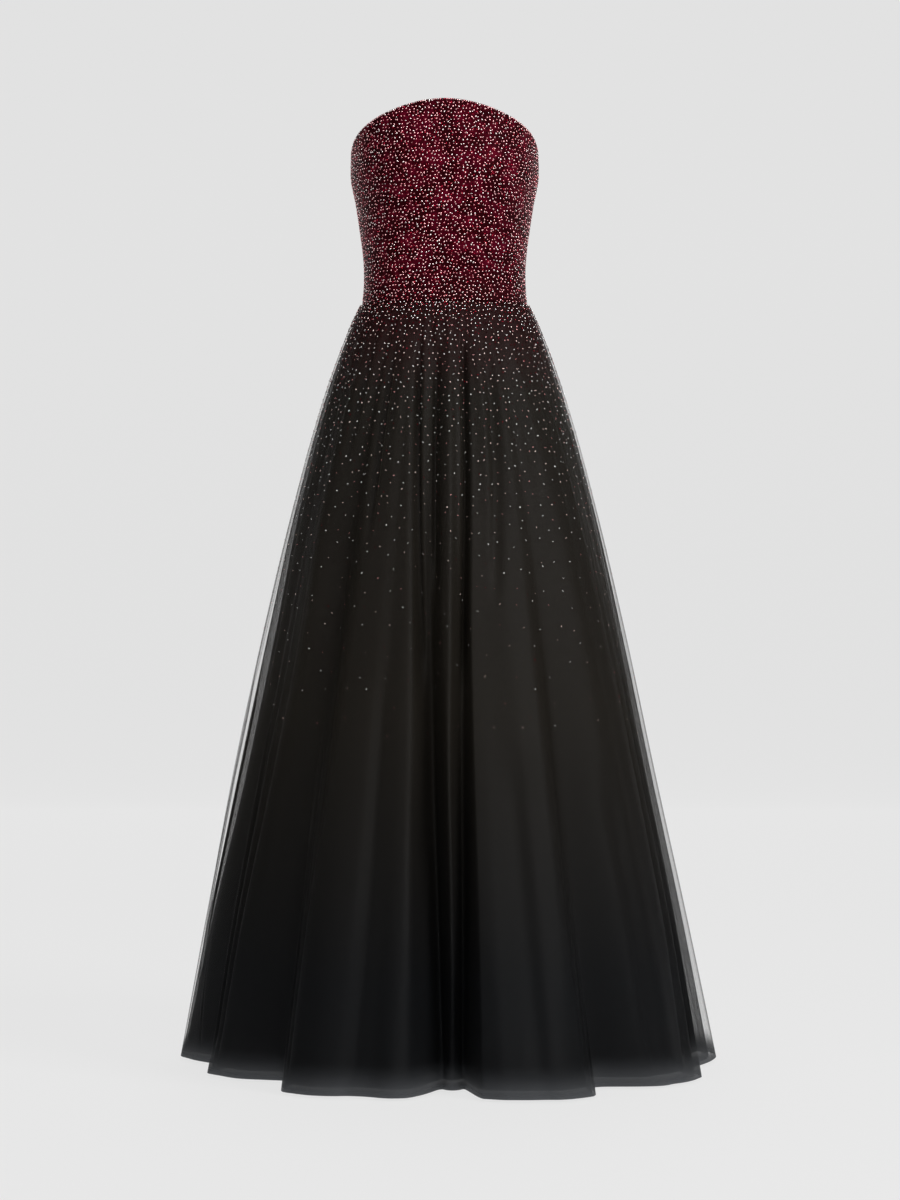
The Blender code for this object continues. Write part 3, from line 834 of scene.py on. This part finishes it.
# Spacing of the skirt's bright and dark stones in millimetres. They end a good half of the way
# down.
StoneSpacing = namedtuple("StoneSpacing", "height bright dark")
SKIRT_STONES = (
    StoneSpacing(-0.650, 66, 160),
    StoneSpacing(-0.550, 44, 115),
    StoneSpacing(-0.450, 32, 85),
    StoneSpacing(-0.365, 24.5, 60),
    StoneSpacing(-0.290, 19, 42),
    StoneSpacing(-0.215, 15.5, 31),
    StoneSpacing(-0.140, 12.8, 21),
    StoneSpacing(-0.065, 10.8, 12.5),
    StoneSpacing(-0.030, 8.8, 7.2),
    StoneSpacing(0.000, 7.0, 4.6),
)


def skirt_stones(first, last, kind, chance):
    """Bright or dark stones of a skirt panel, clear of its seams. They thin out downwards."""
    levels = [row.height for row in SKIRT_STONES]
    spacings = [getattr(row, kind) * MM for row in SKIRT_STONES]
    angles, heights = stone_rows(
        first,
        last,
        levels[0],
        -1 * MM,
        lambda height: np.interp(height, levels, spacings),
        lambda height: float(table_column(SKIRT_SECTIONS, "half_width", height)),
        chance,
    )
    clear = (angles > first + SEAM_CLEARANCE) & (angles < last - SEAM_CLEARANCE)
    return angles[clear], np.minimum(heights[clear], 0)


def tape_face(angle, height):
    """Distance from the axis to the inner face of the zip's tape, at single angles and heights as
    arrays."""
    above = bodice_radius(angle, np.maximum(height, 0)) - BODICE_SOLID_WALL
    below = skirt_radius(angle, np.minimum(height, 0), LAYERS[0]) - SATIN_SOLID_WALL
    return np.where(height > 0, above, below) - TAPE_GAP - TAPE_WALL


def zip_teeth(material):
    """The zip's coil, closed, from the foot of its tape up to the slider: short bars across the
    centre back."""
    top = float(neckline(CENTRE_BACK)) - SLIDER_BELOW_TOP
    heights = np.arange(TAPE_END + TOOTH_PITCH, top, TOOTH_PITCH)
    angles = np.full(len(heights), float(CENTRE_BACK))
    middles = placed(angles, tape_face(angles, heights) - TOOTH_SIZE[1] / 2, heights)
    corner = np.array([(x, y, z) for x in (-1, 1) for y in (-1, 1) for z in (-1, 1)]) / 2 * TOOTH_SIZE
    points = middles[:, None] + corner
    box = np.array([(0, 1, 3, 2), (4, 6, 7, 5), (0, 4, 5, 1), (2, 3, 7, 6), (0, 2, 6, 4), (1, 5, 7, 3)])
    faces = (np.arange(len(heights)) * len(corner))[:, None, None] + box
    obj = add_mesh("zip_coil", points, faces.reshape(-1, 4), material, smooth=False)
    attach(obj, "gown")
    return obj


STITCH_LENGTH = 2.2 * MM
STITCH_GAP = 0.9 * MM
THREAD_RADIUS = 0.16 * MM
STITCH_FROM_EDGE = 7 * MM
HEM_STITCHES_UP = 9 * MM
# Distance of the centre back from the axis
BACK_RADIUS = 0.1


def stitches(name, path, outwards, material):
    """Machine stitches along a path: for each, a small diamond bar laid on the cloth, all set out
    at once."""
    steps = np.linalg.norm(np.diff(path, axis=0), axis=1)
    run = np.concatenate([[0], np.cumsum(steps)])
    starts = np.arange(0, run[-1] - STITCH_LENGTH, STITCH_LENGTH + STITCH_GAP)

    def at(distance, values):
        return np.stack([np.interp(distance, run, values[:, axis]) for axis in range(3)], axis=-1)

    first, last = at(starts, path), at(starts + STITCH_LENGTH, path)
    out = at(starts + STITCH_LENGTH / 2, outwards)
    out /= np.linalg.norm(out, axis=1, keepdims=True)
    ahead = last - first
    ahead /= np.linalg.norm(ahead, axis=1, keepdims=True)
    side = np.cross(ahead, out)
    middle = (first + last) / 2
    corners = [first, last]
    for across, lift in ((1, 0.2), (0, 1.6), (-1, 0.2), (0, -0.6)):
        corners.append(middle + THREAD_RADIUS * (across * side * 1.6 + lift * out))
    points = np.stack(corners, axis=1)
    start = (np.arange(len(starts)) * 6)[:, None, None]
    near = [(0, 2, 3), (0, 3, 4), (0, 4, 5), (0, 5, 2)]
    far = [(1, 3, 2), (1, 4, 3), (1, 5, 4), (1, 2, 5)]
    shape = np.array(near + far)
    obj = add_mesh(name, points, (start + shape).reshape(-1, 3), material, smooth=False)
    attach(obj, "gown")
    return obj


def add_light(name, place, aim, size, power):
    """A square softbox at a place, turned to a point of the gown."""
    lamp = bpy.data.lights.new(name, "AREA")
    lamp.shape = "SQUARE"
    lamp.size = size
    lamp.energy = power
    light = bpy.data.objects.new(name, lamp)
    light.location = place
    away = np.array(place) - np.array(aim)
    spread = np.hypot(away[0], away[1])
    light.rotation_euler = (np.arctan2(spread, away[2]), 0, np.arctan2(away[1], away[0]) + np.pi / 2)
    bpy.context.scene.collection.objects.link(light)


# Materials
dark_red_satin = duchesse_satin()
black_satin = lining_satin()
inner_net = bobbin_tulle("nylon_tulle_black_inner", 0.36)
outer_net = bobbin_tulle("nylon_tulle_black_outer", 0.05)
crystal = cut_crystal()
# Woven polyester tape: matt, with a coarse grain
tape_weave = plain_material("polyester_tape_black", "#141113", 0.85, grain=0.5)
# Nylon coil, extruded and dyed: smooth, with a soft highlight along each turn
nylon_coil = plain_material("nylon_coil_black", "#17171a", 0.4, grain=0.05)
# Enamelled zinc die casting: hard and smooth with soft highlights
enamel = plain_material("enamelled_zinc_black", "#1b181a", 0.30, metallic=0.6, grain=0.05)
# Polyester sewing thread, twisted: a small sheen on each stitch
red_thread = plain_material("polyester_thread_dark_red", "#3a0f18", 0.55, grain=0.2)
black_thread = plain_material("polyester_thread_black", "#1d1c1d", 0.55, grain=0.2)

# Cloth panels
BODICE_GRID = {"front": (121, 60), "back_left": (61, 44), "back_right": (61, 44)}
SKIRT_GRID = {"front": (270, 60), "back_left": (120, 52), "back_right": (120, 52)}
skirt_materials = {"underskirt": black_satin, "tulle_inner": inner_net, "tulle_outer": outer_net}
for panel, (first, last) in PANELS.items():
    add_cloth(
        f"satin_bodice_{panel}",
        bodice_points(first, last, *BODICE_GRID[panel]),
        BODICE_WALL,
        dark_red_satin,
        f"bodice_{panel}",
    )
    for layer in LAYERS:
        add_cloth(
            f"{layer.name}_{panel}_cloth",
            skirt_points(layer, first, last, *SKIRT_GRID[panel]),
            layer.wall,
            skirt_materials[layer.name],
            f"{layer.name}_{panel}",
        )

# Crystals
BRIGHT_SPACING = {"front": 6.0 * MM, "back_left": 6.2 * MM, "back_right": 6.2 * MM}
DARK_SPACING = {"front": 4.8 * MM, "back_left": 4.6 * MM, "back_right": 4.6 * MM}
scatter = np.random.default_rng(CRYSTAL_SEED)
for panel, (first, last) in PANELS.items():
    groups = (
        (*bodice_stones(first, last, BRIGHT_SPACING[panel], scatter), BRIGHT_RADIUS, BRIGHT_TINTS),
        (*bodice_stones(first, last, DARK_SPACING[panel], scatter), DARK_RADIUS, DARK_TINTS),
    )
    set_crystals(f"crystals_bodice_{panel}", bodice_radius, groups, crystal)
    groups = (
        (*skirt_stones(first, last, "bright", scatter), BRIGHT_RADIUS, SKIRT_TINTS),
        (*skirt_stones(first, last, "dark", scatter), DARK_RADIUS, DARK_TINTS),
    )
    set_crystals(
        f"crystals_skirt_{panel}",
        lambda angle, height: skirt_radius(angle, height, LAYERS[2]),
        groups,
        crystal,
    )

# Zip coil and stitching
zip_teeth(nylon_coil)
tape_rows = np.linspace(TAPE_END + 2 * MM, float(neckline(CENTRE_BACK)) - 5 * MM, 90)
for side in (-1, 1):
    lines = CENTRE_BACK + side * np.degrees(STITCH_FROM_EDGE / BACK_RADIUS) + 0 * tape_rows
    seam = placed(lines, tape_face(lines, tape_rows), tape_rows)
    name = "tape_stitches_left" if side < 0 else "tape_stitches_right"
    stitches(name, seam, seam * (-1, -1, 0), black_thread)
around = np.linspace(-90, 270, 721)
inside = bodice_radius(around, neckline(around)) - BODICE_WALL
neck = placed(around, inside, neckline(around) - STITCH_FROM_EDGE)
stitches("neck_stitches", neck, neck * (-1, -1, 0), red_thread)
low = np.full(len(around), -LAYERS[0].hem + HEM_STITCHES_UP)
shift = table_column(SKIRT_SECTIONS, "shift", low)
hem = placed(around, skirt_radius(around, low, LAYERS[0]), low, shift)
stitches("hem_stitches", hem, hem * (1, 1, 0), black_thread)

# Materials of the zip's solids
for node, material in (("zip_tape", tape_weave), ("zip_slider", enamel), ("zip_pull", enamel)):
    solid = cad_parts[node]
    solid.data.materials.clear()
    solid.data.materials.append(material)

# Studio
add_light("softbox_key", (3.2, -2.8, 1.7), (0, 0, -0.3), 1.9, 142)
add_light("softbox_front", (0.5, -4.3, 1.5), (0, 0, -0.1), 1.9, 66)
add_light("softbox_left", (-2.8, -2.7, 1.3), (0, 0, 0.0), 0.8, 14)
add_light("softbox_high", (-0.3, -0.8, 3.0), (0, 0, -0.2), 1.4, 18)

world = bpy.data.worlds.new("studio")
bpy.context.scene.world = world
world.use_nodes = True
world.node_tree.nodes["Background"].inputs["Color"].default_value = linear("#f2f2f2")
world.node_tree.nodes["Background"].inputs["Strength"].default_value = 0.13

FLOOR = -WAIST_TO_HEM - 4 * MM
SWEEP_BACK = 6.0
SWEEP_RADIUS = 2.0
SWEEP_HALF_WIDTH = 12.0
SWEEP_FRONT = -9.0
SWEEP_TOP = 6.0
bend = np.linspace(0, np.pi / 2, 24)
bend_back = SWEEP_BACK + SWEEP_RADIUS * np.sin(bend)
bend_up = FLOOR + SWEEP_RADIUS * (1 - np.cos(bend))
ends = [(SWEEP_FRONT, FLOOR)], [(SWEEP_BACK + SWEEP_RADIUS, SWEEP_TOP)]
profile = np.concatenate([ends[0], np.stack([bend_back, bend_up], axis=-1), ends[1]])
sweep_points = np.stack(
    [
        np.stack([np.full(len(profile), x), profile[:, 0], profile[:, 1]], axis=-1)
        for x in (-SWEEP_HALF_WIDTH, SWEEP_HALF_WIDTH)
    ],
    axis=1,
)
# Studio paper, matt and pale, lit from behind so that it stays even
paper = plain_material("studio_paper", "#404040", 0.9)
glow = paper.node_tree.nodes["Principled BSDF"].inputs
glow["Emission Color"].default_value = linear("#e3e3e3")
glow["Emission Strength"].default_value = 0.94
sweep = add_mesh("studio_sweep", sweep_points, grid_faces(*sweep_points.shape[:2]), paper)

lens = bpy.data.cameras.new("camera")
lens.lens = CAMERA_LENS
lens.sensor_width = SENSOR
lens.sensor_fit = "AUTO"
camera = bpy.data.objects.new("camera", lens)
camera.location = CAMERA_PLACE
camera.rotation_euler = (np.pi / 2, 0, 0)
bpy.context.scene.collection.objects.link(camera)
bpy.context.scene.camera = camera
bpy.context.scene.view_settings.view_transform = "Standard"
